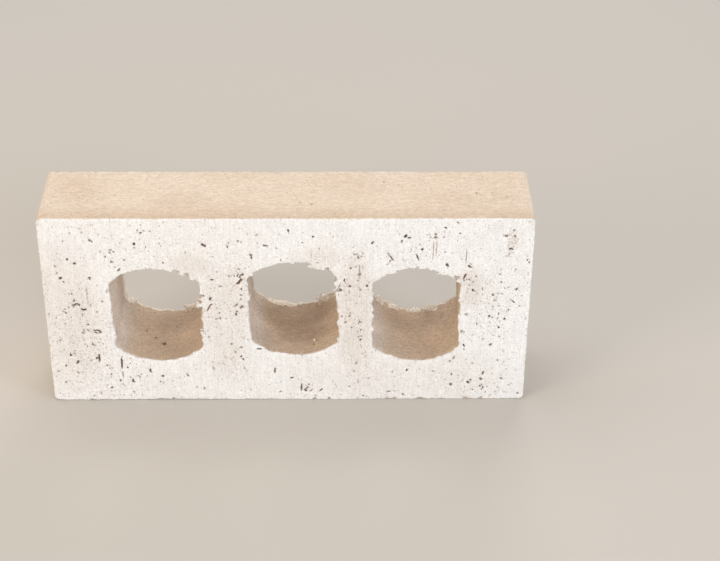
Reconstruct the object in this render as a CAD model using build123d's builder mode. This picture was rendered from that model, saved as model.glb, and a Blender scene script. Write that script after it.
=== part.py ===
from build123d import *

import os

# Cored clay brick, extruded, wire-cut and fired in one piece.
# The brick stands on one of its two long narrow faces, with its pierced bed faces upright. X runs
# along its length, Y through its thickness, and Z up across its bed width. The origin is at the
# middle of the face that it stands on. All sizes are in millimetres.

# Overall size of the fired brick
brick_length = 230
bed_width = 104
brick_thickness = 44

# Corners of the extruded column, which the die leaves slightly round
arris_radius = 2.5

# Walls of clay between the end cores and the ends of the brick, and between one core and the next
end_web = 32
inner_web = 20

# Cores: flat sides, with an arched crown at the top and at the bottom
core_height = 53
crown_rise = 8.5
core_corner_radius = 3

# Drift of the cores in the soft clay: the middle one sideways, and all three up or down
middle_core_shift = 3
core_stagger = 1.5

# Three cores share the length that the walls leave
core_width = (brick_length - 2 * end_web - 2 * inner_web) / 3
core_pitch = core_width + inner_web
core_centres = [
    (-core_pitch, -core_stagger),
    (middle_core_shift, core_stagger),
    (core_pitch, -core_stagger),
]

# Half sizes of one core, and the height on its flat sides where the crowns begin
half_width = core_width / 2
half_height = core_height / 2
flat_end = half_height - crown_rise

# Upright plane midway between the two bed faces, seen from the front
middle_plane = Plane(origin=(0, 0, bed_width / 2), x_dir=(1, 0, 0), z_dir=(0, -1, 0))

# Outline of one core, drawn about its own centre
with BuildSketch() as core_outline:
    with BuildLine():
        left_flat = Line((-half_width, -flat_end), (-half_width, flat_end))
        top_crown = ThreePointArc(left_flat @ 1, (0, half_height), (half_width, flat_end))
        right_flat = Line(top_crown @ 1, (half_width, -flat_end))
        bottom_crown = ThreePointArc(right_flat @ 1, (0, -half_height), left_flat @ 0)
    make_face()
    fillet(core_outline.vertices(), core_corner_radius)

# The column's section with its three cores, as thick as the wires cut it
with BuildPart() as brick:
    with BuildSketch(middle_plane) as column_section:
        RectangleRounded(brick_length, bed_width, arris_radius)
        with Locations(*core_centres):
            add(core_outline.sketch, mode=Mode.SUBTRACT)
    extrude(amount=brick_thickness / 2, both=True)

brick.part.label = "brick"

os.makedirs("parts", exist_ok=True)
export_step(brick.part, "parts/brick.step")
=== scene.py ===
import math

import bpy
import numpy as np
import openvdb
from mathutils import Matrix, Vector


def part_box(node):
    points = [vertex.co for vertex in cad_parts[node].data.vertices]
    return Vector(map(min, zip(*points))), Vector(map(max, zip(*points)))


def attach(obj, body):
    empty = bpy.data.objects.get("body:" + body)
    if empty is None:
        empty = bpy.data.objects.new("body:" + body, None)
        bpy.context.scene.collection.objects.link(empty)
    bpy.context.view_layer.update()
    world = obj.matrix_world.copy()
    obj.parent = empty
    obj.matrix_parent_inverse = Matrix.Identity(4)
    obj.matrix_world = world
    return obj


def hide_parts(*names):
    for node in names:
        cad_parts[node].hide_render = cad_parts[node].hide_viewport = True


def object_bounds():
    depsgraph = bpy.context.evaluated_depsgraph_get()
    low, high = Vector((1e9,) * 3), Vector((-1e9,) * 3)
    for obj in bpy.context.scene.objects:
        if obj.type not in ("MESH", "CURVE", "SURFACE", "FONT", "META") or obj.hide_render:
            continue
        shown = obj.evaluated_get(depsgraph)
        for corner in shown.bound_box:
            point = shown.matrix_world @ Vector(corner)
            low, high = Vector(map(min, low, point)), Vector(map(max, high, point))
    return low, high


# A cored clay brick, extruded, cut by wires and fired. Its clay is worked out as a field of depths on
# a fine grid, with worn edges, torn core rims, pits and drag marks, and then turned into one mesh.
# Lengths are in millimetres until the mesh is written. The front bed face looks along -Y.

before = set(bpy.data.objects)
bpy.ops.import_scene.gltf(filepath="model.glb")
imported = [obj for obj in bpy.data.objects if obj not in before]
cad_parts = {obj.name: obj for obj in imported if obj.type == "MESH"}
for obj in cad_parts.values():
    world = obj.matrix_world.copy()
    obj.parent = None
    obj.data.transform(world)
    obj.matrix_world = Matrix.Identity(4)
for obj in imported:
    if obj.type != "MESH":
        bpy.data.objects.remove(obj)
cad_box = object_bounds()

MILLIMETRE = 0.001

# Size of the brick, from the frame
lowest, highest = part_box("brick")
brick_length, brick_thickness, bed_width = (highest - lowest) / MILLIMETRE
half_length = brick_length / 2
half_thickness = brick_thickness / 2
mid_height = bed_width / 2

# Outline of the column and of its cores
arris_radius = 2.5
end_web = 32
inner_web = 20
core_height = 53
crown_rise = 8.5
core_corner_radius = 3
middle_core_shift = 3
core_stagger = 1.5

core_width = (brick_length - 2 * end_web - 2 * inner_web) / 3
core_pitch = core_width + inner_web
half_width = core_width / 2
half_height = core_height / 2
crown_radius = (half_width ** 2 + crown_rise ** 2) / (2 * crown_rise)
core_centres = [
    (-core_pitch, mid_height - core_stagger),
    (middle_core_shift, mid_height + core_stagger),
    (core_pitch, mid_height - core_stagger),
]

# Drift of the left, middle and right core along X and Z from its drawn place, at the front bed face
# and at the back one, and how far each leans sideways over its height
front_drift = [(-0.4, -0.3), (-0.5, -0.4), (-1.05, -0.6)]
back_drift = [(-0.4, 0.5), (-0.9, 0.6), (0.3, 0.3)]
core_lean = (0.03, 0.06, 0.02)

# Mean depth of the wires' cut and of the die's skin, which leaves their waves room in the brick's
# box, and how round the cut's edges with the skin and with the cores are worn
cut_depth = 0.15
skin_depth = 0.10
arris_wear = 0.5
rim_wear = 0.45

# How deep the tears of the rims and their thin back lip run along the core walls
torn_depth = 1.9
lip_depth = 0.9

# How deep the listed tears, notches and crumbs reach, how far a crumb's middle is set back from its
# face, and how widely it flows into the clay
tear_depth = 2.2
notch_depth = 1.2
crumb_depth = 1.6
crumb_setback = 1.7
crumb_blend = 0.6

# Line that the die left across the upper stretcher face: its place along X, half width and depth
die_line = -17.3
die_line_width = 0.45
die_line_depth = 0.10

# Small random pits: tries on the front bed face and on the back one, their usual half width and its
# spread, the range that it keeps to, and how far pits turn, in radians
front_tries = 1500
back_tries = 1400
pit_width = 0.33
pit_spread = 0.28
pit_range = (0.24, 0.70)
pit_turn = 0.5

# Random pinholes in the stretcher faces and in the header faces, and how deep the middles of the
# stretcher ones lie
stretcher_pinholes = 26
header_pinholes = 16
pinhole_depth = 0.1

# How far random marks keep from the cut edges of the brick, and pinholes from its other edges
cut_margin = 2
skin_margin = 3

# Grid of the clay: its steps across the bed faces, in depth near them, and in depth between them,
# how deep the part near them is, and how far the grid reaches past the brick
face_step = 0.36
shallow_step = 0.32
deep_step = 0.9
shallow_depth = 3.2
grid_margin = 1.3

# Greatest depth that the field keeps, how many triangles its surface is thinned to, and the angle in
# degrees past which an edge is shaded sharp
field_limit = 2.0
triangle_count = 192000
sharp_angle = 48

random = np.random.default_rng(20)


# Marks placed one by one, seen from the front

# Pits in the front bed face: place along X and Z, and half of their width and of their height
front_pits = [
    (-103.5, 91.8, 0.7, 0.7),
    (-99.9, 96.2, 0.7, 0.7),
    (-91.1, 92.4, 0.7, 1.2),
    (-90.0, 91.5, 0.7, 0.5),
    (-70.9, 90.1, 1.0, 1.0),
    (-67.4, 96.1, 0.9, 0.8),
    (-68.6, 97.7, 0.5, 0.5),
    (-38.0, 89.0, 1.2, 1.3),
    (-99.2, 79.3, 0.7, 0.9),
    (-80.4, 77.4, 0.6, 0.8),
    (-106.4, 71.3, 0.9, 0.8),
    (-85.0, 63.7, 0.9, 0.7),
    (-87.6, 58.2, 0.6, 0.7),
    (-105.2, 51.5, 0.6, 0.7),
    (-105.0, 26.8, 1.0, 0.9),
    (-107.6, 20.7, 0.8, 0.7),
    (-111.6, 17.4, 0.6, 0.7),
    (-78.1, 19.5, 0.5, 0.6),
    (-73.0, 14.5, 0.5, 1.1),
    (-61.4, 14.3, 1.0, 0.9),
    (-62.7, 10.8, 0.6, 0.6),
    (-65.6, 7.7, 0.6, 0.6),
    (-95.4, 2.7, 0.7, 0.7),
    (-22.6, 91.6, 1.1, 0.8),
    (-21.2, 91.0, 0.6, 0.7),
    (-27.4, 88.4, 0.7, 0.8),
    (-16.6, 82.3, 0.7, 0.7),
    (-23.1, 68.8, 1.0, 1.2),
    (0.8, 97.1, 0.5, 0.7),
    (-5.0, 87.7, 0.8, 0.7),
    (7.1, 90.8, 0.6, 0.6),
    (14.3, 79.9, 0.6, 0.6),
    (39.7, 90.8, 0.8, 0.8),
    (41.8, 88.9, 0.7, 0.6),
    (32.7, 84.5, 0.8, 0.6),
    (35.3, 84.7, 0.7, 0.5),
    (26.7, 69.9, 0.5, 1.9),
    (29.1, 63.0, 0.6, 0.5),
    (37.2, 66.5, 0.8, 0.9),
    (38.2, 64.3, 0.5, 0.6),
    (-20.9, 72.7, 0.8, 0.7),
    (-24.1, 52.2, 0.5, 0.9),
    (29.7, 51.1, 0.5, 0.8),
    (-21.4, 36.8, 0.6, 0.7),
    (-19.3, 35.8, 0.5, 0.6),
    (-22.9, 26.2, 0.5, 0.9),
    (-6.8, 17.1, 0.4, 1.5),
    (-4.2, 4.6, 0.5, 0.5),
    (34.7, 41.5, 0.8, 0.8),
    (34.6, 35.8, 0.5, 0.9),
    (35.9, 2.1, 0.8, 0.7),
    (55.0, 94.1, 1.2, 0.8),
    (56.3, 93.4, 0.7, 0.5),
    (53.3, 91.6, 0.7, 1.0),
    (73.3, 98.8, 1.0, 0.6),
    (66.6, 93.6, 0.6, 0.6),
    (68.8, 93.6, 0.6, 0.6),
    (80.1, 95.9, 0.5, 0.6),
    (62.9, 86.9, 0.8, 0.7),
    (74.7, 78.4, 0.9, 0.7),
    (85.0, 77.7, 0.8, 0.7),
    (87.5, 64.1, 0.9, 0.7),
    (92.0, 64.7, 0.5, 0.9),
    (100.6, 68.8, 0.8, 0.9),
    (113.2, 79.8, 0.6, 0.9),
    (103.8, 87.4, 0.7, 0.5),
    (103.5, 84.4, 0.7, 0.5),
    (110.1, 55.1, 0.7, 0.6),
    (104.9, 53.0, 0.6, 0.8),
    (90.1, 44.8, 0.7, 1.3),
    (100.8, 42.9, 0.5, 0.9),
    (101.3, 37.4, 0.5, 0.6),
    (113.6, 47.9, 0.6, 0.7),
    (97.5, 32.9, 0.6, 1.2),
    (84.5, 32.1, 0.6, 1.5),
    (78.0, 22.9, 0.7, 0.8),
    (104.1, 22.3, 0.7, 0.6),
    (57.3, 17.4, 0.6, 0.9),
    (70.2, 16.8, 0.9, 0.8),
    (103.4, 12.4, 0.5, 1.2),
    (82.2, 14.4, 0.5, 0.6),
    (87.4, 10.2, 1.0, 0.9),
    (93.4, 7.8, 0.9, 1.2),
    (94.9, 7.1, 0.8, 0.9),
    (90.0, 5.4, 0.7, 0.5),
    (55.6, 3.1, 0.5, 0.6),
    (48.1, 4.3, 0.4, 2.0),
]

# Cracks and drag marks on the front bed face: their two ends, and half of their width
front_cracks = [
    (-38.4, 52.5, -36.6, 56.1, 0.5),
    (-37.1, 55.9, -35.6, 56.5, 0.45),
    (-92.8, 40.5, -91.0, 39.6, 0.5),
    (-91.0, 39.6, -89.0, 40.4, 0.4),
    (-91.4, 27.5, -91.4, 23.1, 0.6),
    (-80.8, 24.9, -80.8, 19.0, 0.6),
    (-80.7, 16.7, -80.6, 13.7, 0.4),
    (-94.7, 68.0, -94.4, 56.0, 0.28),
    (33.8, 79.7, 33.6, 69.9, 0.3),
    (6.1, 9.7, 5.9, 5.0, 0.5),
    (10.0, 4.7, 11.4, 6.2, 0.45),
    (15.0, 5.0, 16.3, 6.4, 0.45),
    (47.5, 84.1, 49.4, 81.3, 0.5),
    (60.2, 84.7, 61.5, 80.9, 0.5),
    (67.2, 92.9, 69.8, 93.3, 0.35),
    (68.2, 92.3, 68.0, 80.5, 0.32),
    (69.7, 92.9, 69.4, 82.5, 0.3),
    (83.7, 87.9, 83.5, 78.7, 0.34),
    (82.7, 70.7, 84.0, 73.5, 0.6),
    (11.3, 88.1, 11.2, 81.5, 0.28),
]

# Flakes half torn from the front bed face, each with a curved cut round a part of it: middle, radius,
# and the angles in degrees at which the cut starts and ends
front_flakes = [
    (-99.8, 55.7, 1.2, 20, 200),
    (-96.7, 54.2, 1.1, 200, 340),
    (-96.7, 44.5, 1.2, 150, 330),
    (-91.4, 39.9, 2.0, 0, 190),
    (-103.1, 37.7, 0.9, 30, 170),
    (-103.9, 27.1, 1.5, 30, 150),
    (-102.9, 23.1, 1.2, 300, 400),
    (-107.3, 10.3, 1.5, 60, 170),
    (-93.4, 3.4, 1.6, 20, 160),
    (46.8, 81.9, 2.0, 280, 430),
    (34.8, 65.5, 1.4, 40, 260),
    (31.7, 85.1, 1.3, 200, 340),
    (56.1, 80.1, 1.2, 20, 180),
    (99.2, 39.1, 1.3, 90, 250),
    (-21.6, 71.1, 1.2, 120, 320),
    (-45.4, 88.1, 1.0, 20, 170),
    (-60.5, 11.9, 1.4, 200, 380),
    (9.0, 5.9, 1.2, 100, 260),
    (90.2, 6.7, 1.6, 160, 300),
    (-33.2, 21.5, 1.1, 60, 200),
    (100.5, 61.5, 1.2, 10, 150),
    (-9.9, 90.0, 1.2, 200, 330),
]

# Tears in the core rims on the front bed face: place along X and Z, and half width and height
front_tears = [
    (-73.6, 74.2, 1.2, 0.7),
    (-52.4, 74.6, 1.9, 1.5),
    (-47.6, 72.4, 1.6, 1.5),
    (-40.9, 61.4, 1.4, 1.0),
    (-82.6, 66.6, 1.4, 2.2),
    (-14.6, 73.2, 1.9, 1.5),
    (-16.3, 71.0, 1.2, 1.2),
    (6.8, 78.3, 3.4, 1.5),
    (9.4, 77.6, 1.6, 1.8),
    (18.8, 73.8, 2.1, 2.4),
    (22.4, 71.0, 0.9, 1.3),
    (24.0, 64.4, 1.4, 0.9),
    (-18.0, 66.2, 1.1, 0.9),
    (-14.0, 30.4, 1.8, 0.7),
    (57.4, 76.0, 0.9, 1.0),
    (61.2, 76.0, 0.9, 1.0),
    (65.6, 75.6, 1.0, 1.1),
    (79.6, 71.2, 1.7, 1.4),
    (83.2, 40.2, 0.8, 1.2),
]

# Crumbs and burrs of clay that the wire left on the front rims, given likewise
front_crumbs = [
    (-42.2, 55.4, 1.3, 1.9),
    (-41.6, 58.8, 1.0, 0.9),
    (-82.3, 60.8, 0.6, 0.8),
    (-81.9, 45.8, 0.6, 0.7),
    (-58.6, 76.4, 1.2, 0.6),
    (-72.3, 73.0, 0.8, 0.7),
    (13.3, 76.9, 3.0, 1.3),
    (10.9, 77.6, 1.0, 1.2),
    (16.2, 76.0, 1.0, 1.0),
    (22.9, 68.0, 1.0, 1.3),
    (-18.4, 60.3, 0.7, 0.9),
    (24.2, 35.6, 0.8, 0.9),
    (72.4, 73.4, 1.8, 0.8),
    (42.4, 61.4, 1.0, 0.9),
    (82.3, 46.4, 0.8, 1.3),
    (82.6, 53.0, 0.5, 1.0),
]

# Lumps on the back rims, which show through the cores, given likewise
back_crumbs = [
    (-83.6, 41.0, 1.2, 8.5),
    (-82.2, 33.5, 1.1, 2.0),
    (-19.3, 42.0, 1.1, 7.0),
    (-51.4, 26.6, 2.2, 1.1),
    (-48.6, 27.4, 1.1, 0.9),
    (-79.0, 30.2, 2.4, 1.2),
    (-10.5, 29.4, 3.0, 1.0),
    (-4.6, 28.3, 3.4, 0.9),
    (0.6, 27.6, 2.2, 0.8),
    (17.2, 31.6, 3.4, 2.4),
    (20.8, 33.4, 2.2, 2.0),
    (44.6, 30.6, 1.6, 2.4),
    (51.8, 26.4, 2.4, 1.3),
    (62.4, 24.7, 3.2, 0.9),
    (70.6, 25.9, 2.6, 1.6),
]

# Notches in the edges of the front bed face, given likewise
edge_notches = [
    (-96.8, 0.0, 1.0, 0.7),
    (-63.3, 0.0, 1.1, 0.9),
    (-56.9, 0.2, 0.8, 0.7),
    (-20.6, 0.0, 0.9, 0.6),
    (12.3, 0.2, 0.9, 0.8),
    (19.5, 0.2, 0.9, 0.8),
    (48.0, 0.4, 0.9, 1.4),
    (51.9, 0.3, 0.9, 1.2),
    (63.8, 0.2, 1.4, 1.1),
    (86.5, 0.3, 1.4, 1.2),
    (94.1, 0.2, 1.2, 1.0),
    (49.1, 104.0, 0.9, 0.6),
    (-23.5, 104.0, 0.7, 0.6),
    (-115.0, 74.5, 0.7, 1.3),
    (-115.0, 61.0, 0.6, 1.0),
    (-115.0, 33.0, 0.7, 1.4),
    (114.9, 26.0, 0.6, 1.1),
]

# Scuffs of many small marks on the front bed face: middle, spread along X and Z, and count
scuffs = [
    (-94.0, 38.0, 3.0, 7.0, 26),
    (-92.5, 25.0, 1.6, 3.0, 10),
    (-22.5, 68.0, 2.4, 8.0, 22),
    (30.0, 58.0, 3.0, 10.0, 18),
    (86.0, 68.0, 2.6, 6.0, 16),
    (34.5, 40.0, 1.2, 8.0, 14),
    (8.0, 7.0, 2.5, 2.0, 10),
    (93.0, 7.5, 2.4, 2.0, 10),
]

# Pinholes in the upper stretcher face, by their place along X and Y
top_pinholes = [
    (-28.8, 15.8),
    (45.8, 12.2),
    (6.3, -6.7),
    (11.6, -8.2),
    (89.0, 1.7),
    (96.7, 1.7),
    (103.0, -1.7),
    (76.2, -13.2),
    (96.8, -15.0),
    (-23.5, -19.8),
    (1.0, -20.7),
]

# Crumbs stuck to the core floors, and pits in them: place, and half width, depth and height
floor_crumbs = [
    (12.6, -12.0, 28.9, 0.7, 0.6, 0.6),
    (-51.0, 5.0, 25.6, 0.4, 0.4, 0.4),
    (60.5, -3.0, 24.2, 0.4, 0.4, 0.4),
]
floor_pits = [
    (-61.2, -7.3, 23.6, 0.9, 0.9, 0.9),
    (-65.9, -2.7, 23.8, 0.5, 0.6, 0.6),
    (-70.5, 1.6, 24.7, 0.4, 0.5, 0.5),
    (-56.2, 6.5, 24.2, 0.5, 0.6, 0.5),
    (12.0, -14.6, 28.2, 0.6, 0.5, 0.6),
    (0.4, 12.3, 26.6, 0.5, 0.6, 0.5),
    (-5.5, -4.0, 27.4, 0.4, 0.5, 0.5),
    (52.7, 2.5, 24.4, 0.5, 0.6, 0.5),
    (66.0, -9.0, 23.9, 0.4, 0.5, 0.5),
]

# Patches of the bed faces: middle along X and Z, half width and height, and strength. Warm ones stain
# the front, fine marks crowd in busy ones, and front rims are clean in smooth ones.
warm_patches = [
    (-106, 50, 20, 46, 0.60),
    (-30, 46, 13, 40, 0.55),
    (32, 50, 11, 40, 0.80),
    (86, 66, 7, 13, 0.75),
    (-44, 79, 12, 7, 0.6),
    (14, 82, 14, 7, 0.5),
    (60, 12, 60, 16, 0.20),
]
busy_patches = [
    (-98, 42, 15, 30, 1.0),
    (-23, 62, 9, 28, 1.0),
    (-36, 58, 6, 26, 0.6),
    (31, 62, 9, 30, 0.9),
    (95, 56, 15, 26, 0.9),
    (60, 86, 34, 9, 0.7),
    (104.6, 92.0, 3.0, 9.0, 2.0),
    (103.0, 84.5, 2.0, 4.0, 1.6),
    (-74, 84, 30, 9, 0.5),
    (36, 14, 12, 18, 0.7),
    (90, 12, 20, 12, 0.8),
    (-88, 14, 22, 14, 0.8),
    (-30, 22, 9, 16, 0.7),
]
smooth_rims = [
    (-6, 76, 11, 7, 0.85),
]

# Upper stretch of the right core's right flat, paler as painted light, given likewise
lit_flats = [
    (84, 66, 5, 12, 1.0),
]

# Darker stretches of the core floors, which are painted shade, and stains in the upper stretcher face,
# most
# of them near its front edge: middle along X and Y, half width and depth, and strength
core_floor_shade = [
    (-57, 12, 13, 10, 0.45),
    (-54, 19, 8, 4, 0.35),
    (-2, 9, 15, 15, 1.1),
    (9, 12, 14, 13, 1.3),
    (6, -6, 18, 10, 0.85),
    (-64, -15, 26, 11, 0.50),
    (-6, -15, 24, 12, 0.60),
    (56, -15, 26, 11, 0.50),
    (56, 12, 10, 11, 0.45),
    (68, 13, 9, 10, 0.45),
]
top_stains = [
    (-76, -20.5, 30, 2.4, 1.0),
    (-34, -21.0, 13, 2.0, 0.7),
    (2, -20.5, 16, 2.6, 0.9),
    (48, -21.0, 22, 2.0, 0.7),
    (92, -20.5, 18, 2.4, 0.9),
    (-98, 4, 12, 14, 0.35),
    (-52, -6, 16, 9, 0.30),
    (30, 8, 22, 9, 0.25),
    (84, -4, 26, 10, 0.30),
]


# Depth fields of the column and its cores

def smooth_max(a, b, blend):
    """The greater of two fields, with the crease between them rounded over."""
    overlap = np.maximum(blend - np.abs(a - b), 0)
    return np.maximum(a, b) + overlap ** 2 / (4 * blend)


def smooth_min(a, b, blend):
    """The lesser of two fields, with the crease between them filled."""
    return -smooth_max(-a, -b, blend)


def rise(value, start, end):
    """Goes smoothly from 0 at start to 1 at end."""
    t = np.clip((value - start) / (end - start), 0, 1)
    return t * t * (3 - 2 * t)


def column_distance(x, z):
    """Distance to the outline of the extruded column, below zero in the clay."""
    dx = np.abs(x) - (half_length - arris_radius)
    dz = np.abs(z - mid_height) - (mid_height - arris_radius)
    outside = np.hypot(np.maximum(dx, 0), np.maximum(dz, 0))
    inside = np.minimum(np.maximum(dx, dz), 0)
    return outside + inside - arris_radius


def one_core_distance(x, z):
    """Distance to the outline of a core about its own centre, below zero in the hole."""
    across = np.abs(x)
    upward = np.abs(z)
    flat = half_width - core_corner_radius
    reach = crown_radius - core_corner_radius
    crown_centre = half_height - crown_radius
    corner = crown_centre + math.sqrt(reach ** 2 - flat ** 2)
    straight = np.maximum(across - flat, np.hypot(across, upward - crown_centre) - reach)
    past_corner = (upward > corner) & (across * (corner - crown_centre) > flat * (upward - crown_centre))
    round_corner = np.hypot(across - flat, upward - corner)
    return np.where(past_corner, round_corner, straight) - core_corner_radius


def nearest_core(x, z, drifts):
    """Distance to the nearest core's outline where the cores have drifted so, below zero in a hole."""
    distances = []
    for (core_x, core_z), (drift_x, drift_z), lean in zip(core_centres, drifts, core_lean):
        upward = z - core_z - drift_z
        distances.append(one_core_distance(x - core_x - drift_x + lean * upward, upward))
    return np.minimum.reduce(distances)


def core_distance(x, y, z):
    """Distance to the nearest core's outline, which leans a little from the front to the back."""
    front = nearest_core(x, z, front_drift)
    back = nearest_core(x, z, back_drift)
    return front + (back - front) * (y + half_thickness) / brick_thickness


def patch_strength(patches, x, z):
    """How strongly a place lies in the patches, which fade out towards their edges."""
    strength = 0
    for centre_x, centre_z, wide, high, most in patches:
        share = np.hypot((x - centre_x) / wide, (z - centre_z) / high)
        strength = np.maximum(strength, most * rise(share, 1.2, 0.4))
    return strength


# Grid of the clay and smooth noise over it

# The grid's axes, which are also kept as columns that spread over the whole field
x_axis = np.arange(-half_length - grid_margin, half_length + grid_margin, face_step)
z_axis = np.arange(-grid_margin, bed_width + grid_margin, face_step)
front_part = np.arange(-half_thickness - grid_margin, shallow_depth - half_thickness, shallow_step)
middle_part = np.arange(front_part[-1] + deep_step / 2, -front_part[-1], deep_step)
y_axis = np.concatenate([front_part, middle_part, -front_part[::-1]])
x_grid = x_axis[:, None, None].astype(np.float32)
y_grid = y_axis[None, :, None].astype(np.float32)
z_grid = z_axis[None, None, :].astype(np.float32)


def spread(values, number, axis, cell):
    """Spreads random values smoothly over the grid's axis of this number, as a cubic spline does."""
    place = (axis - axis[0]) / cell
    first = np.floor(place).astype(int)
    t = place - first
    weights = np.stack([
        (1 - t) ** 3,
        3 * t ** 3 - 6 * t ** 2 + 4,
        -3 * t ** 3 + 3 * t ** 2 + 3 * t + 1,
        t ** 3,
    ])
    weights /= math.sqrt(np.mean(np.sum(weights ** 2, axis=0)))
    shape = [1, 1, 1]
    shape[number] = len(axis)
    total = 0
    for step, weight in enumerate(weights.astype(np.float32)):
        total = total + np.take(values, first + step, axis=number) * weight.reshape(shape)
    return total


def clay_noise(cell_x, cell_y, cell_z):
    """Smooth random field over the whole grid, of about unit strength, with cells of this size."""
    grid = ((z_axis, cell_z, 2), (y_axis, cell_y, 1), (x_axis, cell_x, 0))
    counts = [int((axis[-1] - axis[0]) / cell) + 4 for axis, cell, _ in reversed(grid)]
    values = random.normal(size=counts).astype(np.float32)
    for axis, cell, number in grid:
        values = spread(values, number, axis, cell)
    return values


# Even-grained roughness, and the same with a finer grain in it, which makes every torn edge uneven
grain = clay_noise(1.0, 1.0, 1.0)
torn = 0.75 * grain + 0.65 * clay_noise(0.62, 0.62, 0.62)


# Faces of the clay

def bed_face_relief():
    """How far the wires' cut lies below the flat bed faces: waves, drag marks and torn grains."""
    waves = 0.05 * clay_noise(26, 12, 34)
    drag = 0.022 * clay_noise(1.5, 9, 12)
    lumps = 0.035 * clay_noise(3.2, 3.2, 4.0)
    return cut_depth + waves + drag + lumps + 0.035 * grain + 0.025 * torn


def skin_relief():
    """How far the die's skin lies below the flat outer faces, in long soft waves along Y."""
    waves = 0.045 * clay_noise(34, 60, 34)
    ripples = 0.012 * clay_noise(2.6, 24, 2.6)
    line = die_line_depth * np.exp(-((x_grid - die_line) / die_line_width) ** 2) * (z_grid > mid_height)
    return skin_depth + waves + ripples + 0.010 * grain + line


def core_relief():
    """How far the core walls lie from their drawn outline, in the hole's favour."""
    sway = 0.20 * clay_noise(12, 70, 12)
    ripples = 0.03 * clay_noise(2.8, 26, 2.8)
    return sway + ripples + 0.015 * grain - 0.05


def rim_tears(depth_from_cut):
    """How far the rims are torn back near the bed faces. The lower front rims are the cleanest, and
    the back rims keep a thin lip of clay."""
    chunks = 0.24 * clay_noise(3.6, 3.4, 3.6) + 0.30 * clay_noise(1.7, 1.8, 1.7) + 0.24 * torn
    patches = np.clip(0.95 + 0.4 * clay_noise(13, 60, 13), 0.45, 1.6)
    lower_front = (y_grid < 0) * rise(z_grid, mid_height - 6, mid_height - 20)
    smooth_rim = (y_grid < 0) * patch_strength(smooth_rims, x_grid, z_grid)
    calm = (1 - 0.40 * lower_front) * (1 - smooth_rim) * (1 - 0.55 * (y_grid > 0))
    reach = patches * calm * np.exp(-(depth_from_cut / torn_depth) ** 2)
    lip = np.clip(0.45 + 0.35 * clay_noise(8, 60, 8), 0, 0.9) * (y_grid > 0)
    return (chunks + 0.10) * reach - lip * np.exp(-(depth_from_cut / lip_depth) ** 2)


def shape_clay():
    """Depth field of the whole brick: below zero in the clay, above zero in the air."""
    depth_from_cut = half_thickness - np.abs(y_grid)
    outline = column_distance(x_grid, z_grid)
    hole = -core_distance(x_grid, y_grid, z_grid)
    cut = bed_face_relief() - depth_from_cut
    skin = outline + skin_relief()
    wear = np.maximum(0.05 * clay_noise(3.4, 3.4, 3.4) + 0.06 * torn, -0.04)
    body = smooth_max(cut, skin, arris_wear) + wear * np.exp(-(cut ** 2 + skin ** 2) / 0.9)
    wall = hole + core_relief() + rim_tears(depth_from_cut)
    return smooth_max(body, wall, rim_wear)


# Marks dug into the clay or stuck on it

def near(centre, reach):
    """The slices of the grid that hold a feature, and the coordinates there about its centre."""
    picked = []
    for axis, middle, extent in zip((x_axis, y_axis, z_axis), centre, reach):
        start = np.searchsorted(axis, middle - extent - deep_step)
        end = np.searchsorted(axis, middle + extent + deep_step)
        picked.append(slice(start, max(end, start + 1)))
    local = [
        x_grid[picked[0]] - centre[0],
        y_grid[:, picked[1]] - centre[1],
        z_grid[:, :, picked[2]] - centre[2],
    ]
    return tuple(picked), local


def blob(centre, radii, turn=0.0):
    """The part of the grid round an ellipsoid that is turned about Y, and the distance to it there."""
    reach = (max(radii[0], radii[2]), radii[1], max(radii[0], radii[2]))
    part, (x, y, z) = near(centre, reach)
    along = x * math.cos(turn) + z * math.sin(turn)
    upward = z * math.cos(turn) - x * math.sin(turn)
    share = np.sqrt((along / radii[0]) ** 2 + (y / radii[1]) ** 2 + (upward / radii[2]) ** 2)
    return part, (share - 1) * min(radii)


def carve(clay, centre, radii, rough, turn=0.0):
    """Takes an uneven ellipsoid out of the clay, rough by this share of its smallest radius."""
    part, distance = blob(centre, radii, turn)
    uneven = rough * min(radii) * np.clip(torn[part], -0.5, 1.2)
    clay[part] = np.maximum(clay[part], uneven - distance)


def add_crumb(clay, centre, radii, rough):
    """Adds an uneven ellipsoid to the clay, which flows into what it touches."""
    part, distance = blob(centre, radii)
    clay[part] = smooth_min(clay[part], distance + rough * torn[part], crumb_blend)


def dig_pit(clay, place, face, half_wide, half_high, depth, turn=0.0, rough=0.5):
    """Digs an uneven pit in a bed face, -1 for the front one and 1 for the back one."""
    centre = (place[0], face * half_thickness, place[1])
    carve(clay, centre, (half_wide, depth, half_high), rough, turn)


def dig_listed_pit(clay, x, z, wide, high):
    """Digs a pit in the front bed face, and a smaller one beside it. Neither is so narrow that it
    would fall between the grid's points."""
    half_wide = max(0.46, 0.74 * wide)
    half_high = max(0.48, 0.74 * high)
    depth = 0.7 * wide + 1.0
    turn = random.normal(0, pit_turn)
    dig_pit(clay, (x, z), -1, half_wide, half_high, depth, turn, rough=0.3)
    beside = (random.normal(x, 0.7 * wide), random.normal(z, 0.7 * high))
    dig_pit(clay, beside, -1, max(0.34, 0.45 * wide), max(0.36, 0.55 * high), 0.5 * wide + 0.6)


def dig_crack(clay, x0, z0, x1, z1, half):
    """Digs a crack between two places on the front bed face."""
    middle = ((x0 + x1) / 2, (z0 + z1) / 2)
    half_long = math.hypot(x1 - x0, z1 - z0) / 2 + half
    turn = math.atan2(-(x1 - x0), z1 - z0)
    dig_pit(clay, middle, -1, max(0.36, 0.9 * half), half_long, 0.25 + 1.7 * half, turn, rough=0.25)


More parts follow.
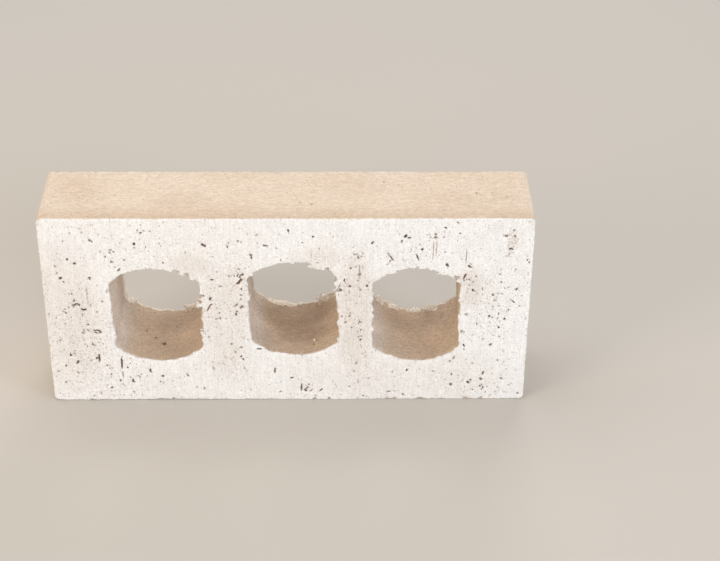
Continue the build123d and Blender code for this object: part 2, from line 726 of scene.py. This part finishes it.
def dig_flake(clay, x, z, radius, start, end):
    """Cuts round a part of a flake on the front bed face, with gaps in the cut."""
    steps = max(3, int(radius * math.radians(end - start) / 0.4))
    for step in range(steps + 1):
        angle = math.radians(start + (end - start) * step / steps)
        place = (x + radius * math.cos(angle), z + 0.8 * radius * math.sin(angle))
        thick = random.uniform(0.28, 0.36) + 0.12 * math.sin(math.pi * step / steps)
        if random.random() < 0.62:
            dig_pit(clay, place, -1, thick, 1.3 * thick, random.uniform(0.7, 1.1), angle)


def dig_scuff(clay, x, z, wide, high, count):
    """Digs many small upright marks round a place on the front bed face."""
    for _ in range(count):
        place = (random.normal(x, 0.6 * wide), random.normal(z, 0.6 * high))
        half = random.uniform(0.28, 0.42)
        dig_pit(clay, place, -1, half, half * random.uniform(1, 2.2), random.uniform(0.5, 0.9))


def dig_front(clay):
    """The tears, crumbs, pits, cracks and flakes that show on the front bed face."""
    for x, z, wide, high in front_tears:
        carve(clay, (x, -half_thickness, z), (wide, tear_depth, high), rough=0.28)
    for x, z, wide, high in front_crumbs:
        add_crumb(clay, (x, crumb_setback - half_thickness, z), (wide, crumb_depth, high), rough=0.22)
    for x, z, wide, high in edge_notches:
        carve(clay, (x, -half_thickness, z), (wide, notch_depth, high), rough=0.35)
    for pit in front_pits:
        dig_listed_pit(clay, *pit)
    for crack in front_cracks:
        dig_crack(clay, *crack)
    for flake in front_flakes:
        dig_flake(clay, *flake)
    for scuff in scuffs:
        dig_scuff(clay, *scuff)


def dig_small_pits(clay, face):
    """Digs a small pit at a random place on a bed face, and up to two beside it, but none near a core
    or an edge, and fewer where marks aren't crowded."""
    reach = half_length - cut_margin
    place = np.array([random.uniform(-reach, reach), random.uniform(cut_margin, bed_width - cut_margin)])
    crowded = 0.32 + 0.68 * patch_strength(busy_patches, place[0], place[1])
    wide = float(np.clip(random.lognormal(math.log(pit_width), pit_spread), *pit_range))
    high = wide * random.uniform(0.9, 2.4)
    depth = 0.35 + wide * random.uniform(0.4, 1.4)
    turn = random.normal(0, pit_turn)
    to_core = core_distance(place[0], face * half_thickness, place[1])
    clear = column_distance(place[0], place[1]) < -1 and to_core > 1
    if clear and random.random() < crowded:
        dig_pit(clay, place, face, wide, high, depth, turn)
        for _ in range(random.choice([0, 0, 1, 2])):
            beside = place + random.normal(0, 0.7, 2)
            dig_pit(clay, beside, face, 0.8 * wide, 0.7 * high, 0.8 * depth, 2 * turn)


def dig_at_random(clay):
    """Small pits over both bed faces, in loose clusters, and the lumps on the back rims."""
    for x, z, wide, high in back_crumbs:
        add_crumb(clay, (x, half_thickness - crumb_setback, z), (wide, crumb_depth, high), rough=0.25)
    for face, tries in ((-1, front_tries), (1, back_tries)):
        for _ in range(tries):
            dig_small_pits(clay, face)


def dig_skin(clay):
    """Pinholes in the upper stretcher face, and a few in the other faces that the die pressed."""
    stretcher_faces = [pinhole_depth, bed_width - pinhole_depth]
    header_faces = [-half_length, half_length]
    reach_x = half_length - skin_margin
    reach_y = half_thickness - cut_margin
    for x, y in top_pinholes:
        carve(clay, (x, y, stretcher_faces[1]), (0.45, 0.7, 0.8), rough=0.2)
    for _ in range(stretcher_pinholes):
        x = random.uniform(-reach_x, reach_x)
        y = random.uniform(-reach_y, reach_y)
        z = random.choice(stretcher_faces)
        carve(clay, (x, y, z), (0.35, 0.5, 0.5), rough=0.2)
    for _ in range(header_pinholes):
        x = random.choice(header_faces)
        y = random.uniform(-reach_y, reach_y)
        z = random.uniform(skin_margin, bed_width - skin_margin)
        carve(clay, (x, y, z), (0.6, 0.5, 0.45), rough=0.2)


def mark_cores(clay):
    """Crumbs and pits on the floors of the cores."""
    for x, y, z, wide, deep, high in floor_crumbs:
        add_crumb(clay, (x, y, z), (wide, deep, high), rough=0.10)
    for x, y, z, wide, deep, high in floor_pits:
        carve(clay, (x, y, z), (wide, deep, high), rough=0.2)


# Mesh of the clay, and notes on its surface for the material

def surface_of(clay):
    """Points and four-sided faces of the clay's surface, in millimetres."""
    grid = openvdb.FloatGrid(field_limit)
    grid.copyFromArray(np.clip(clay, -field_limit, field_limit).astype(np.float32))
    steps, _, quads = grid.convertToPolygons(isovalue=0.0, adaptivity=0.0)
    axes = (x_axis, y_axis, z_axis)
    points = [np.interp(step, np.arange(len(axis)), axis) for step, axis in zip(steps.T, axes)]
    return np.stack(points, axis=1), quads


def largest_shell(count, edges):
    """True for each point that belongs to the largest connected shell."""
    label = np.arange(count)
    while True:
        lower = np.minimum(label[edges[:, 0]], label[edges[:, 1]])
        joined = label.copy()
        np.minimum.at(joined, edges[:, 0], lower)
        np.minimum.at(joined, edges[:, 1], lower)
        joined = joined[joined]
        if np.array_equal(joined, label):
            break
        label = joined
    return label == np.bincount(label).argmax()


def without_crumbs(points, quads):
    """The points and faces of the largest shell, without loose crumbs and closed bubbles."""
    edges = np.concatenate([quads[:, [a, b]] for a, b in ((0, 1), (1, 2), (2, 3), (3, 0))])
    kept = largest_shell(len(points), edges)
    number = np.cumsum(kept) - 1
    return points[kept], number[quads[kept[quads[:, 0]]]]


def quad_mesh(name, points, quads):
    """A mesh of four-sided faces that look outward."""
    mesh = bpy.data.meshes.new(name)
    mesh.vertices.add(len(points))
    mesh.vertices.foreach_set("co", (points * MILLIMETRE).astype(np.float32).ravel())
    mesh.loops.add(4 * len(quads))
    mesh.loops.foreach_set("vertex_index", quads.astype(np.int32).ravel())
    mesh.polygons.add(len(quads))
    mesh.polygons.foreach_set("loop_start", np.arange(0, 4 * len(quads), 4, dtype=np.int32))
    mesh.polygons.foreach_set("loop_total", np.full(len(quads), 4, np.int32))
    mesh.update(calc_edges=True)
    return mesh


def thinned(obj, count):
    """The object's mesh with flat stretches thinned to this many triangles, kept in the CAD box."""
    thin = obj.modifiers.new("thin", "DECIMATE")
    thin.ratio = count / (2 * len(obj.data.polygons))
    thin.use_collapse_triangulate = True
    graph = bpy.context.evaluated_depsgraph_get()
    mesh = bpy.data.meshes.new_from_object(obj.evaluated_get(graph))
    obj.modifiers.clear()
    points = np.empty(3 * len(mesh.vertices), np.float32)
    mesh.vertices.foreach_get("co", points)
    points = np.clip(points.reshape(-1, 3), np.float32(cad_box[0]), np.float32(cad_box[1]))
    mesh.vertices.foreach_set("co", points.ravel())
    mesh.update()
    return mesh


def crack_at(x, y, z):
    """How strongly each point lies in a crack of the front bed face, which the material darkens as
    painted shade.
    """
    strength = 0
    for x0, z0, x1, z1, half in front_cracks:
        run_x, run_z = x1 - x0, z1 - z0
        along = ((x - x0) * run_x + (z - z0) * run_z) / (run_x ** 2 + run_z ** 2)
        along = np.clip(along, 0, 1)
        off = np.hypot(x - x0 - along * run_x, z - z0 - along * run_z)
        taper = 1 - 0.6 * np.abs(2 * along - 1) ** 3
        deep = 3.2 * (half - 0.12) * taper
        strength = np.maximum(strength, deep * rise(off, 0.9 * half + 0.1, 0.4 * half - 0.1))
    return strength * (y < 1 - half_thickness)


def floor_pit_at(x, y, z):
    """How strongly each point lies in a pit of the core floors, which the material darkens as painted
    shade.
    """
    strength = 0
    for pit_x, pit_y, pit_z, wide, deep, high in floor_pits:
        share = np.hypot((x - pit_x) / (wide + 0.2), (y - pit_y) / (deep + 0.2))
        share = np.hypot(share, (z - pit_z) / (high + 0.6))
        strength = np.maximum(strength, (wide + 0.3) * rise(share, 1.25, 0.75))
    return strength


def lit_flat_at(x, z):
    """How near each point is to the left flat of its core, or to another listed flat, both of which get
    painted light as a paler colour.
    """
    offsets = np.stack([x - core_x for core_x, _ in core_centres])
    nearest = np.take_along_axis(offsets, np.abs(offsets).argmin(axis=0)[None], axis=0)[0]
    left_flat = rise(nearest / half_width, -0.60, -0.92)
    return np.maximum(left_flat, patch_strength(lit_flats, x, z))


def stain_and_shade_at(x, y, z, skin, wall):
    """How strongly each point is stained on the front and along the top's front edge, and how much
    painted shade darkens the cores.
    """
    warm = patch_strength(warm_patches, x, z) * (y < 0)
    upper = skin * rise(z, bed_width - 2, bed_width - 1)
    band = np.maximum(rise(y + half_thickness, 14, 0), patch_strength(top_stains, x, y))
    # Painted shade on stretches of the core floors
    core_floor = wall * rise(z, mid_height - 8, mid_height - 18)
    inside = core_floor * patch_strength(core_floor_shade, x, y)
    return np.maximum.reduce([warm * (1 - wall), upper * band, inside])


def lip_and_highlight_at(x, y, z):
    """How near each point is to the back cut, where the wire drew a pale lip over the core rims. Its
    pale colour is partly the torn clay's own and partly a painted highlight.
    """
    to_back = half_thickness - y
    lumps = 0
    for centre_x, centre_z, wide, high in back_crumbs:
        share = np.hypot((x - centre_x) / (wide + 0.5), (z - centre_z) / (high + 0.8))
        lumps = np.maximum(lumps, rise(share, 1.3, 0.9) * rise(to_back, 4.2, 3.4))
    return np.maximum(np.clip(1 - to_back / 4, 0, 1), lumps)


def note_surface(mesh):
    """Writes on each point whether it is the die's skin or a core wall, how deep it lies in a pit for
    the painted shade there, how stained it is and how much painted shade darkens it on a core floor, how
    near the back cut, how near a flat with painted light, and how crowded fine marks are."""
    points = np.empty(3 * len(mesh.vertices), np.float32)
    mesh.vertices.foreach_get("co", points)
    x, y, z = points.reshape(-1, 3).T / MILLIMETRE
    below_skin = -column_distance(x, z)
    below_cut = half_thickness - np.abs(y)
    below_wall = core_distance(x, y, z)
    skin = rise(below_skin, 0.75, 0.4) * rise(below_cut, 0.30, 0.75)
    wall = rise(below_wall, 1.1, 0.6) * rise(below_wall, -0.9, -0.5) * rise(below_cut, 0.5, 1.4)
    # How deep each point lies below the faces, which darkens pits and pinholes as painted shade
    in_cut = rise(below_cut, 0.36, 1.0) * rise(below_wall, 1.1, 2.0) * rise(below_skin, 0.6, 1.2)
    in_skin = rise(below_skin, 0.35, 0.70) * rise(below_cut, 1.2, 2.0) * rise(below_wall, 1.0, 2.0)
    layers = {
        "skin": skin,
        "wall": wall,
        "hollow_shade": np.maximum.reduce([in_cut, in_skin, crack_at(x, y, z), floor_pit_at(x, y, z)]),
        "warm": stain_and_shade_at(x, y, z, skin, wall),
        "lip": lip_and_highlight_at(x, y, z) * rise(below_wall, 1.1, 0.6),
        "lit_flat": lit_flat_at(x, z),
        "busy": 0.36 + 0.64 * patch_strength(busy_patches, x, z) + 0.34 * wall,
    }
    for name, values in layers.items():
        layer = mesh.attributes.new(name, "FLOAT", "POINT")
        layer.data.foreach_set("value", values.astype(np.float32))


def build_brick():
    """The whole brick as one closed mesh."""
    clay = shape_clay()
    dig_front(clay)
    dig_at_random(clay)
    dig_skin(clay)
    mark_cores(clay)
    points, quads = without_crumbs(*surface_of(clay))
    raw = quad_mesh("clay_surface", points, quads)
    obj = bpy.data.objects.new("clay_brick", raw)
    bpy.context.scene.collection.objects.link(obj)
    obj.data = thinned(obj, min(triangle_count, 2 * len(quads)))
    obj.data.name = "clay_brick"
    bpy.data.meshes.remove(raw)
    obj.data.polygons.foreach_set("use_smooth", np.ones(len(obj.data.polygons), bool))
    obj.data.set_sharp_from_angle(angle=math.radians(sharp_angle))
    note_surface(obj.data)
    return obj


# Shader nodes

class Nodes:
    """Adds and links the shader nodes of one material, or of the world."""

    def __init__(self, owner):
        self.owner = owner
        owner.use_nodes = True
        self.tree = owner.node_tree
        self.tree.nodes.clear()

    def add(self, kind, **settings):
        node = self.tree.nodes.new(kind)
        for setting, value in settings.items():
            setattr(node, setting, value)
        return node

    def put(self, socket, value):
        """Links an output to the socket, or sets the socket to a plain value."""
        if isinstance(value, bpy.types.NodeSocket):
            self.tree.links.new(value, socket)
        else:
            socket.default_value = value

    def math(self, operation, *values):
        node = self.add("ShaderNodeMath", operation=operation)
        for socket, value in zip(node.inputs, values):
            self.put(socket, value)
        return node.outputs[0]

    def plus(self, first, *others):
        for other in others:
            first = self.math("ADD", first, other)
        return first

    def times(self, first, *others):
        for other in others:
            first = self.math("MULTIPLY", first, other)
        return first

    def without(self, value, share=1.0):
        """1 less this share of the value."""
        return self.math("SUBTRACT", 1.0, self.times(value, share))

    def band(self, value, low, high, start=0.0, end=1.0):
        """Goes smoothly from start to end as the value goes from low to high."""
        node = self.add("ShaderNodeMapRange", interpolation_type="SMOOTHSTEP")
        for socket, given in zip(node.inputs, (value, low, high, start, end)):
            self.put(socket, given)
        return node.outputs[0]

    def mix(self, share, a, b, blend="MIX"):
        """Colour a with this share of it turned to b. The node's sockets 6, 7 and 2 are its colours."""
        node = self.add("ShaderNodeMix", data_type="RGBA", blend_type=blend)
        self.put(node.inputs["Factor"], share)
        self.put(node.inputs[6], a)
        self.put(node.inputs[7], b)
        return node.outputs[2]

    def tinted(self, base, tint):
        """One colour multiplied by another, or by a tone."""
        return self.mix(1.0, base, tint, "MULTIPLY")

    def attribute(self, name):
        """What the mesh notes under this name."""
        return self.add("ShaderNodeAttribute", attribute_name=name).outputs["Fac"]

    def place(self, stretch):
        """Place on the object in millimetres, divided by a feature size along each axis."""
        coordinate = self.add("ShaderNodeTexCoord").outputs["Object"]
        node = self.add("ShaderNodeMapping")
        self.put(node.inputs["Vector"], coordinate)
        node.inputs["Scale"].default_value = [1 / (MILLIMETRE * s) for s in stretch]
        return node.outputs[0]

    def noise(self, stretch, detail=2.0, roughness=0.5):
        """Noise whose features have about this size in millimetres along each axis."""
        node = self.add("ShaderNodeTexNoise")
        self.put(node.inputs["Vector"], self.place(stretch))
        node.inputs["Scale"].default_value = 1.0
        node.inputs["Detail"].default_value = detail
        node.inputs["Roughness"].default_value = roughness
        return node.outputs["Fac"]

    def specks(self, stretch, size, share, ragged):
        """Spots near the middle of some cells of this size in millimetres, with ragged outlines."""
        node = self.add("ShaderNodeTexVoronoi", feature="F1")
        self.put(node.inputs["Vector"], self.place(stretch))
        node.inputs["Scale"].default_value = 1.0
        node.inputs["Randomness"].default_value = 1.0
        picked = self.add("ShaderNodeSeparateColor")
        self.put(picked.inputs[0], node.outputs["Color"])
        radius = self.band(picked.outputs[1], 0.0, 1.0, 0.45 * size, size)
        uneven = self.times(self.math("SUBTRACT", ragged, 0.5), 1.2 * size)
        distance = self.plus(node.outputs["Distance"], uneven)
        spot = self.band(distance, self.times(radius, 0.55), radius, 1.0, 0.0)
        chosen = self.math("LESS_THAN", picked.outputs[0], share)
        return self.times(spot, chosen)

    def finish(self, surface, kind="ShaderNodeOutputMaterial"):
        output = self.add(kind)
        self.put(output.inputs["Surface"], surface)


# Colours of the clay

def colour(red, green, blue):
    return (red, green, blue, 1.0)


# Pairs that a cloud mixes, for the wires' cut, the die's skin and the core walls. The walls' pair is
# darker than the skin's, as painted shade in the cores.
cut_colours = [colour(0.85, 0.832, 0.825), colour(0.838, 0.811, 0.794)]
skin_colours = [colour(0.77, 0.645, 0.53), colour(0.745, 0.61, 0.49)]
wall_colours = [colour(0.70, 0.54, 0.40), colour(0.645, 0.505, 0.385)]
# Painted light on the core flats, as a paler colour
lit_flat_colour = colour(0.70, 0.60, 0.515)
# Pale lip of torn clay on the back rims, partly a painted highlight
lip_and_highlight_colour = colour(0.96, 0.89, 0.79)

# Tint of a stain on a face, and of the painted shade on a core wall
face_stain = colour(0.875, 0.825, 0.78)
wall_shade_tint = colour(0.70, 0.665, 0.64)

# Grit, fine specks, larger spots, and the painted shade on the rims and insides of pits and cracks
grit_colour = colour(0.42, 0.33, 0.27)
speck_colour = colour(0.36, 0.27, 0.21)
spot_colour = colour(0.24, 0.175, 0.135)
pit_rim_shade_colour = colour(0.38, 0.28, 0.21)
pit_shade_colour = colour(0.16, 0.115, 0.09)

# Strength of the bump and its height in millimetres
bump_strength = 0.6
bump_height = 0.20


# Material of the clay

class ClayNodes(Nodes):
    """Nodes of the clay, with the notes on its surface and the grains that several steps share."""

    def __init__(self):
        super().__init__(bpy.data.materials.new("fired_clay"))
        lip_edge = self.band(self.noise((3.2, 3.2, 3.2), 3.0), 0.3, 0.7, -0.22, 0.22)
        self.lip = self.band(self.plus(self.attribute("lip"), lip_edge), 0.66, 0.80)
        self.skin = self.attribute("skin")
        self.wall = self.times(self.attribute("wall"), self.without(self.lip))
        self.busy = self.attribute("busy")
        self.cloud = self.noise((28, 28, 34), 3.0)
        self.mottle = self.noise((2.6, 2.6, 3.6), 4.0, 0.65)
        self.sand = self.noise((0.42, 0.42, 0.42), 2.0, 0.7)
        self.drag = self.noise((0.75, 6.0, 10.0), 3.0, 0.6)
        self.layers = self.noise((8.0, 1.7, 8.0), 4.0, 0.65)
        self.ripple = self.noise((2.4, 0.8, 2.4), 3.0, 0.65)
        self.flecks = self.noise((0.95, 0.95, 1.1), 3.0, 0.75)
        self.grit = self.noise((0.75, 0.75, 1.0), 2.0, 0.6)


def base_colour(n):
    """Colour of each kind of face, with its stains, the painted shade in the cores, the painted light on
    the core flats, and the pale lip with its painted highlight.
    """
    cut = n.mix(n.band(n.cloud, 0.35, 0.68), *cut_colours)
    skin = n.mix(n.band(n.cloud, 0.32, 0.7), *skin_colours)
    # Core walls, darker than the skin as painted shade
    wall = n.mix(n.band(n.noise((11, 22, 11)), 0.36, 0.64), *wall_colours)
    # Painted light on the core flats
    wall = n.mix(n.attribute("lit_flat"), wall, lit_flat_colour)
    base = n.mix(n.skin, cut, skin)
    base = n.mix(n.wall, base, wall)
    # Pale lip, partly a painted highlight
    base = n.mix(n.lip, base, lip_and_highlight_colour)
    # Stains on the faces, and painted shade in the cores
    stain_and_shade_tint = n.mix(n.wall, face_stain, wall_shade_tint)
    return n.mix(n.attribute("warm"), base, n.tinted(base, stain_and_shade_tint))


def grain_tone(n):
    """How much lighter or darker than its colour the grain makes each kind of face."""
    cut = n.times(n.band(n.mottle, 0.30, 0.72, 0.94, 1.02), n.band(n.drag, 0.3, 0.7, 0.95, 1.025))
    cut = n.times(cut, n.band(n.flecks, 0.28, 0.72, 0.87, 1.09))
    die = n.times(n.band(n.mottle, 0.30, 0.72, 0.96, 1.03), n.band(n.layers, 0.3, 0.7, 0.94, 1.035))
    wall = n.times(n.band(n.flecks, 0.28, 0.72, 0.86, 1.09), n.band(n.ripple, 0.3, 0.7, 0.87, 1.09))
    skin = n.times(n.band(n.flecks, 0.28, 0.72, 0.92, 1.05), n.band(n.ripple, 0.3, 0.7, 0.90, 1.07))
    tone = n.mix(n.wall, n.mix(n.skin, cut, n.times(die, skin)), n.times(die, wall))
    return n.tinted(tone, n.band(n.sand, 0.25, 0.75, 0.88, 1.08))


def specks_and_spots(n):
    """Fine specks, and larger spots. They are thickest where marks crowd, and fewer on the skin."""
    crowd = n.band(n.noise((9, 9, 14), 3.0), 0.35, 0.65, 0.25, 1.25)
    share = n.times(crowd, n.busy, n.without(n.skin, 0.5))
    fine = n.specks((1.0, 1.0, 1.3), 0.44, n.times(share, 0.50), n.sand)
    small = n.specks((1.5, 1.5, 2.6), 0.28, n.times(share, 0.52), n.sand)
    large = n.specks((3.0, 3.0, 5.5), 0.16, n.times(share, 0.6), n.sand)
    return fine, n.math("MAXIMUM", n.times(small, 0.75), n.times(large, 0.80))


def darkened(n, base, fine, spots):
    """The colour with grit, specks and spots in it, and with painted shade in pits and cracks."""
    crumbly = n.times(n.busy, n.band(n.skin, 0.0, 1.0, 0.16, 0.04))
    crumbly = n.plus(n.grit, crumbly, n.times(n.wall, 0.06))
    base = n.mix(n.band(crumbly, 0.70, 0.84, 0.0, 0.55), base, grit_colour)
    base = n.mix(n.times(fine, 0.72), base, speck_colour)
    base = n.mix(spots, base, spot_colour)
    # Painted shade in pits and cracks, darker the deeper they lie
    hollow_shade = n.plus(n.attribute("hollow_shade"), n.times(n.math("SUBTRACT", n.sand, 0.5), 1.1))
    base = n.mix(n.band(hollow_shade, 0.15, 0.60, 0.0, 0.70), base, pit_rim_shade_colour)
    return n.mix(n.band(hollow_shade, 0.55, 1.10, 0.0, 0.86), base, pit_shade_colour)


def fine_relief(n, fine, spots):
    """Height of the sand, the drag marks and the specks, which is lower where the die pressed."""
    pressed = n.math("MAXIMUM", n.skin, n.wall)
    marks = n.mix(pressed, n.drag, n.times(n.layers, 0.8))
    height = n.plus(n.times(n.sand, 0.8), n.times(n.mottle, 0.8), n.times(marks, 0.6))
    height = n.math("SUBTRACT", height, n.math("MAXIMUM", spots, n.times(fine, 0.5)))
    return n.times(height, n.without(pressed, 0.45))


def fired_clay():
    """Matte fired clay: off-white where the wire cut it, sandy where the die pressed its skin."""
    n = ClayNodes()
    fine, spots = specks_and_spots(n)
    base = n.tinted(base_colour(n), grain_tone(n))
    bump = n.add("ShaderNodeBump")
    bump.inputs["Strength"].default_value = bump_strength
    bump.inputs["Distance"].default_value = bump_height * MILLIMETRE
    n.put(bump.inputs["Height"], fine_relief(n, fine, spots))
    shader = n.add("ShaderNodeBsdfPrincipled")
    n.put(shader.inputs["Base Color"], darkened(n, base, fine, spots))
    n.put(shader.inputs["Roughness"], n.band(n.mottle, 0.3, 0.7, 0.82, 0.95))
    shader.inputs["Specular IOR Level"].default_value = 0.25
    n.put(shader.inputs["Normal"], bump.outputs[0])
    n.finish(shader.outputs[0])
    return n.owner


# Studio: floor, lamps and camera, in metres

backdrop_colour = colour(0.60, 0.565, 0.52)
floor_colour = colour(0.55, 0.515, 0.475)
sky_colour = colour(1.0, 0.98, 0.96)
sky_strength = 0.42

# Half width of the floor, and how far from the brick its fading into the backdrop starts and ends
floor_reach = 4.0
fade_start = 0.22
fade_end = 0.75


def seen_directly(n):
    """1 for rays that show the studio itself, and 0 for the light that it throws on the brick."""
    path = n.add("ShaderNodeLightPath").outputs
    mirrored = n.math("MAXIMUM", path["Is Glossy Ray"], path["Is Transmission Ray"])
    return n.math("MAXIMUM", path["Is Camera Ray"], mirrored)


def mixed_shader(n, share, first, second):
    """The first node's shader with this share of it turned to the second's."""
    node = n.add("ShaderNodeMixShader")
    n.put(node.inputs[0], share)
    n.put(node.inputs[1], first.outputs[0])
    n.put(node.inputs[2], second.outputs[0])
    return node.outputs[0]


def floor_paint():
    """Matte pale paint, which fades into the backdrop away from the brick."""
    n = Nodes(bpy.data.materials.new("floor_paint"))
    paint = n.add("ShaderNodeBsdfPrincipled")
    paint.inputs["Base Color"].default_value = floor_colour
    paint.inputs["Roughness"].default_value = 0.9
    paint.inputs["Specular IOR Level"].default_value = 0.1
    backdrop = n.add("ShaderNodeEmission")
    backdrop.inputs["Color"].default_value = backdrop_colour
    away = n.add("ShaderNodeVectorMath", operation="LENGTH")
    n.put(away.inputs[0], n.add("ShaderNodeTexCoord").outputs["Object"])
    fade = n.band(away.outputs["Value"], fade_start, fade_end)
    n.finish(mixed_shader(n, n.times(fade, seen_directly(n)), paint, backdrop))
    return n.owner


def plain_floor():
    """Wide pale floor that the brick stands on."""
    mesh = bpy.data.meshes.new("floor")
    corners = [(x * floor_reach, y * floor_reach, 0) for x, y in ((-1, -1), (1, -1), (1, 1), (-1, 1))]
    mesh.from_pydata(corners, [], [(0, 1, 2, 3)])
    mesh.materials.append(floor_paint())
    floor = bpy.data.objects.new("floor", mesh)
    bpy.context.scene.collection.objects.link(floor)


def area_light(name, place, target, width, watts, tint):
    """Square lamp of this width that points from its place at the target."""
    lamp = bpy.data.lights.new(name, "AREA")
    lamp.shape = "SQUARE"
    lamp.size = width
    lamp.energy = watts
    lamp.color = tint
    obj = bpy.data.objects.new(name, lamp)
    obj.location = place
    obj.rotation_euler = (Vector(target) - Vector(place)).to_track_quat("-Z", "Y").to_euler()
    bpy.context.scene.collection.objects.link(obj)


def light_studio():
    """Soft lamps: cooler from the right, warmer from the left and above, and neutral otherwise."""
    middle = (0, 0, mid_height * MILLIMETRE)
    area_light("front_lamp", (0.35, -1.75, 0.85), middle, 1.0, 10.0, (0.96, 0.98, 1.0))
    area_light("right_lamp", (1.25, -0.85, 0.50), middle, 0.6, 10.0, (0.82, 0.92, 1.0))
    area_light("left_lamp", (-1.05, -0.80, 0.45), middle, 0.6, 8.5, (1.0, 0.88, 0.73))
    area_light("back_lamp", (0.40, 1.65, 0.75), middle, 0.9, 11.5, (1.0, 0.98, 0.95))
    area_light("upper_lamp", (-0.35, 0.25, 1.5), middle, 1.3, 10.0, (1.0, 0.94, 0.86))


def pale_world():
    """World that lights the brick from all sides, and shows as the pale backdrop."""
    n = Nodes(bpy.data.worlds.new("studio"))
    light = n.add("ShaderNodeBackground")
    light.inputs["Color"].default_value = sky_colour
    light.inputs["Strength"].default_value = sky_strength
    backdrop = n.add("ShaderNodeBackground")
    backdrop.inputs["Color"].default_value = backdrop_colour
    n.finish(mixed_shader(n, seen_directly(n), light, backdrop), "ShaderNodeOutputWorld")
    bpy.context.scene.world = n.owner


def set_camera():
    """Camera at the photograph's viewing angle, with its place in millimetres and turn in degrees."""
    place = (19.8, -700.7, 517.0)
    turn = (56.64, -0.48, -0.89)
    lens = bpy.data.cameras.new("camera")
    lens.sensor_width = 36
    lens.lens = 86.5
    lens.clip_start = 0.01
    camera = bpy.data.objects.new("camera", lens)
    camera.location = [MILLIMETRE * p for p in place]
    camera.rotation_euler = [math.radians(t) for t in turn]
    bpy.context.scene.collection.objects.link(camera)
    bpy.context.scene.camera = camera


set_camera()
brick = build_brick()
brick.data.materials.append(fired_clay())
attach(brick, "root")
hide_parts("brick")
plain_floor()
light_studio()
pale_world()
bpy.context.scene.view_settings.view_transform = "Standard"
